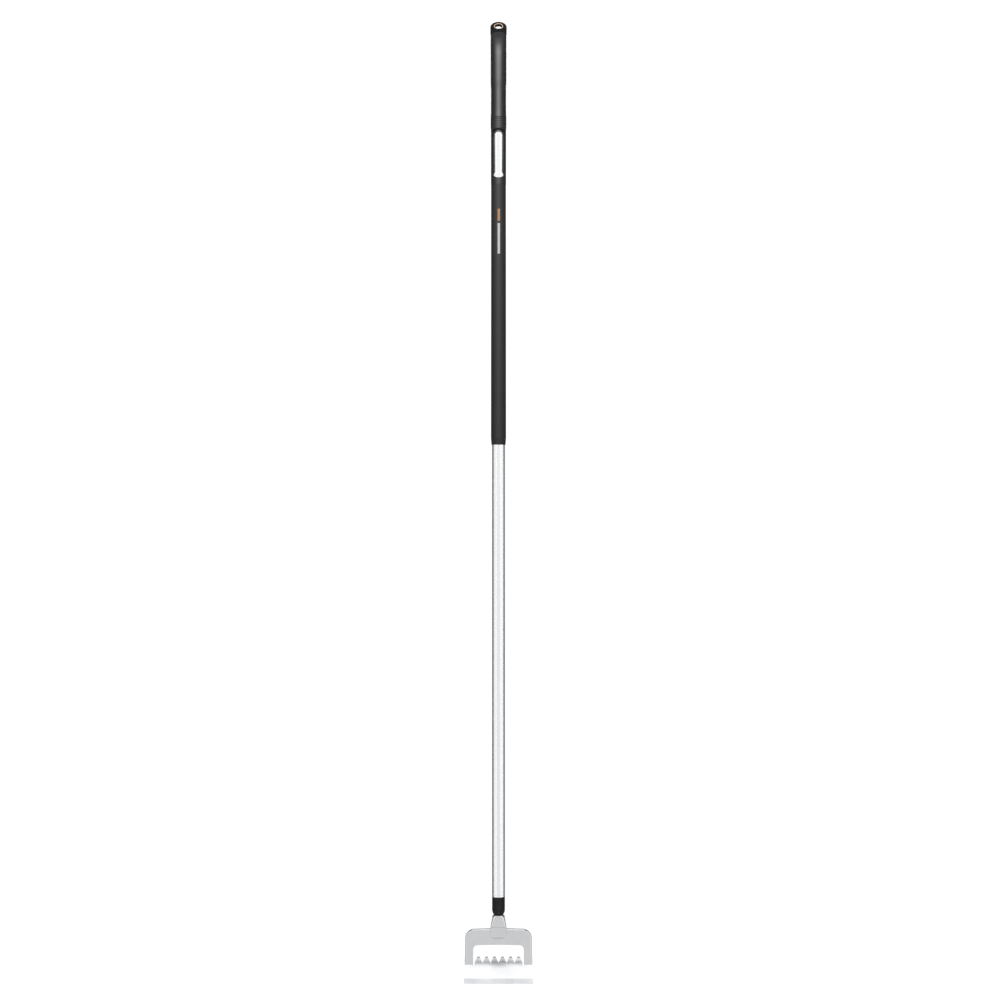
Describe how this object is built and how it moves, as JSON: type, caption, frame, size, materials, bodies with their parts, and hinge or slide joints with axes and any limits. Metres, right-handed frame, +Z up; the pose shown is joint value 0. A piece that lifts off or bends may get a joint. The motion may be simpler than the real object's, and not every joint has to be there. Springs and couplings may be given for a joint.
{
  "type": "grub hoe",
  "caption": "Long draw hoe with a toothed stirrup blade of pressed steel, an aluminium shaft and a cushioned hook-end handle.",
  "frame": {"origin": "centre of the hanging hole in the handle's round end", "axes": "+Z up the shaft from the blade towards the handle, -Y to the front where the blade's cutting edge points, +X to the right seen from the front"},
  "size_m": [0.1168, 0.0661, 1.6151],
  "materials": {
    "aluminium": "clear anodised, fine drawn lines along the tube",
    "hard_plastic": "black moulded plastic with a fine matt grain",
    "soft_grip": "soft overmoulded elastomer, satin",
    "soft_sleeve": "soft elastomer sleeve, satin",
    "orange_plastic": "orange moulded plastic, satin",
    "head_steel": "pressed and hardened steel, bead-blasted, with a ground cutting edge",
    "weld_steel": "weld metal, rippled",
    "pin_steel": "plain steel, drawn"
  },
  "bodies": {
    "root": {"shaft_tube": "aluminium", "handle_core": "hard_plastic", "palm_grip": "soft_grip", "grip_inlay": "orange_plastic", "hang_ring": "orange_plastic", "handle_pin": "pin_steel", "window_collar": "hard_plastic", "long_sleeve": "soft_sleeve", "ferrule": "hard_plastic", "tang": "pin_steel", "tang_pin": "pin_steel", "neck": "head_steel", "weld_beads": "weld_steel", "blade_frame": "head_steel"}
  },
  "joints": []
}
